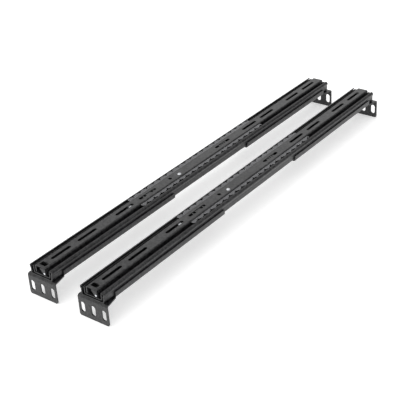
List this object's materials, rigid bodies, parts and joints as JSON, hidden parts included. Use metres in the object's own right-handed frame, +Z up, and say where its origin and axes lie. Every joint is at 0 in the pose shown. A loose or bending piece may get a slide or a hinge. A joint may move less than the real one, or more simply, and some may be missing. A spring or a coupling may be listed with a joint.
{
  "type": "sliding server rail pair",
  "caption": "Pair of telescopic ball-bearing rack slides with slotted end ears, adjustable rear brackets, ball cages and press levers.",
  "frame": {"origin": "middle of the pair's bounding box, on the plane that the lower edges of the rack ears stand on", "axes": "+X across the pair from the left rail to the right rail, +Y along the rails from the front ears to the rear ears, +Z up out of the inner members' flat webs"},
  "size_m": [0.1226, 0.6166, 0.0447],
  "materials": {
    "black_steel": "satin black coated rolled steel",
    "zinc_steel": "bright zinc-plated steel",
    "phosphated_steel": "dark phosphated steel strip",
    "ball_steel": "polished bearing steel",
    "black_nylon": "moulded black nylon"
  },
  "bodies": {
    "base": {"left_outer_member": "black_steel", "left_outer_rear_bumper": "black_nylon", "left_front_bracket": "black_steel", "left_front_bracket_studs": "zinc_steel", "left_front_bracket_nuts": "zinc_steel", "left_rear_bracket_studs": "zinc_steel", "left_rear_bracket_nuts": "zinc_steel", "right_outer_member": "black_steel", "right_outer_rear_bumper": "black_nylon", "right_front_bracket": "black_steel", "right_front_bracket_studs": "zinc_steel", "right_front_bracket_nuts": "zinc_steel", "right_rear_bracket_studs": "zinc_steel", "right_rear_bracket_nuts": "zinc_steel"},
    "left_intermediate": {"left_intermediate_member": "black_steel", "left_intermediate_rear_bumper": "black_nylon"},
    "left_inner": {"left_inner_member": "black_steel", "left_front_rivet": "zinc_steel", "left_stop_rivet": "zinc_steel", "left_inner_stop_block": "black_nylon", "left_lock_saddle": "zinc_steel", "left_lock_pin": "zinc_steel", "left_release_saddle": "black_steel", "left_release_pin": "zinc_steel"},
    "left_outer_cage": {"left_outer_ball_cage": "phosphated_steel", "left_outer_balls": "ball_steel"},
    "left_inner_cage": {"left_inner_ball_cage": "phosphated_steel", "left_inner_balls": "ball_steel"},
    "left_rear_adjuster": {"left_rear_bracket": "black_steel"},
    "left_lock": {"left_lock_lever": "black_steel"},
    "left_release": {"left_release_lever": "black_steel"},
    "right_intermediate": {"right_intermediate_member": "black_steel", "right_intermediate_rear_bumper": "black_nylon"},
    "right_inner": {"right_inner_member": "black_steel", "right_front_rivet": "zinc_steel", "right_stop_rivet": "zinc_steel", "right_inner_stop_block": "black_nylon", "right_lock_saddle": "zinc_steel", "right_lock_pin": "zinc_steel", "right_release_saddle": "black_steel", "right_release_pin": "zinc_steel"},
    "right_outer_cage": {"right_outer_ball_cage": "phosphated_steel", "right_outer_balls": "ball_steel"},
    "right_inner_cage": {"right_inner_ball_cage": "phosphated_steel", "right_inner_balls": "ball_steel"},
    "right_rear_adjuster": {"right_rear_bracket": "black_steel"},
    "right_lock": {"right_lock_lever": "black_steel"},
    "right_release": {"right_release_lever": "black_steel"}
  },
  "joints": [
    {"name": "left_intermediate_slide", "type": "slide", "parent": "base", "child": "left_intermediate", "axis": [0, -1, 0], "range_m": [0, 0.3]},
    {"name": "left_outer_cage_roll", "type": "slide", "parent": "base", "child": "left_outer_cage", "axis": [0, -1, 0], "range_m": [0, 0.15]},
    {"name": "left_inner_slide", "type": "slide", "parent": "left_intermediate", "child": "left_inner", "axis": [0, -1, 0], "range_m": [0, 0.3]},
    {"name": "left_inner_cage_roll", "type": "slide", "parent": "left_intermediate", "child": "left_inner_cage", "axis": [0, -1, 0], "range_m": [0, 0.15]},
    {"name": "left_rear_bracket_adjust", "type": "slide", "parent": "base", "child": "left_rear_adjuster", "axis": [0, 1, 0], "range_m": [0, 0.08]},
    {"name": "left_lock_lever_press", "type": "hinge", "parent": "left_inner", "child": "left_lock", "pos_m": [-0.03935, -0.1478, 0.0394], "axis": [-1, 0, 0], "range_deg": [0, 4], "stiffness_Nm_per_rad": 0.5},
    {"name": "left_release_lever_press", "type": "hinge", "parent": "left_inner", "child": "left_release", "pos_m": [-0.03935, 0.0267, 0.0394], "axis": [-1, 0, 0], "range_deg": [0, 4], "stiffness_Nm_per_rad": 0.5},
    {"name": "right_intermediate_slide", "type": "slide", "parent": "base", "child": "right_intermediate", "axis": [0, -1, 0], "range_m": [0, 0.3]},
    {"name": "right_outer_cage_roll", "type": "slide", "parent": "base", "child": "right_outer_cage", "axis": [0, -1, 0], "range_m": [0, 0.15]},
    {"name": "right_inner_slide", "type": "slide", "parent": "right_intermediate", "child": "right_inner", "axis": [0, -1, 0], "range_m": [0, 0.3]},
    {"name": "right_inner_cage_roll", "type": "slide", "parent": "right_intermediate", "child": "right_inner_cage", "axis": [0, -1, 0], "range_m": [0, 0.15]},
    {"name": "right_rear_bracket_adjust", "type": "slide", "parent": "base", "child": "right_rear_adjuster", "axis": [0, 1, 0], "range_m": [0, 0.08]},
    {"name": "right_lock_lever_press", "type": "hinge", "parent": "right_inner", "child": "right_lock", "pos_m": [0.03935, -0.1478, 0.0394], "axis": [-1, 0, 0], "range_deg": [0, 4], "stiffness_Nm_per_rad": 0.5},
    {"name": "right_release_lever_press", "type": "hinge", "parent": "right_inner", "child": "right_release", "pos_m": [0.03935, 0.0267, 0.0394], "axis": [-1, 0, 0], "range_deg": [0, 4], "stiffness_Nm_per_rad": 0.5}
  ],
  "couplings": [
    {"joint": "left_outer_cage_roll", "follows": "left_intermediate_slide", "ratio": 0.5},
    {"joint": "left_inner_cage_roll", "follows": "left_inner_slide", "ratio": 0.5},
    {"joint": "right_outer_cage_roll", "follows": "right_intermediate_slide", "ratio": 0.5},
    {"joint": "right_inner_cage_roll", "follows": "right_inner_slide", "ratio": 0.5}
  ]
}
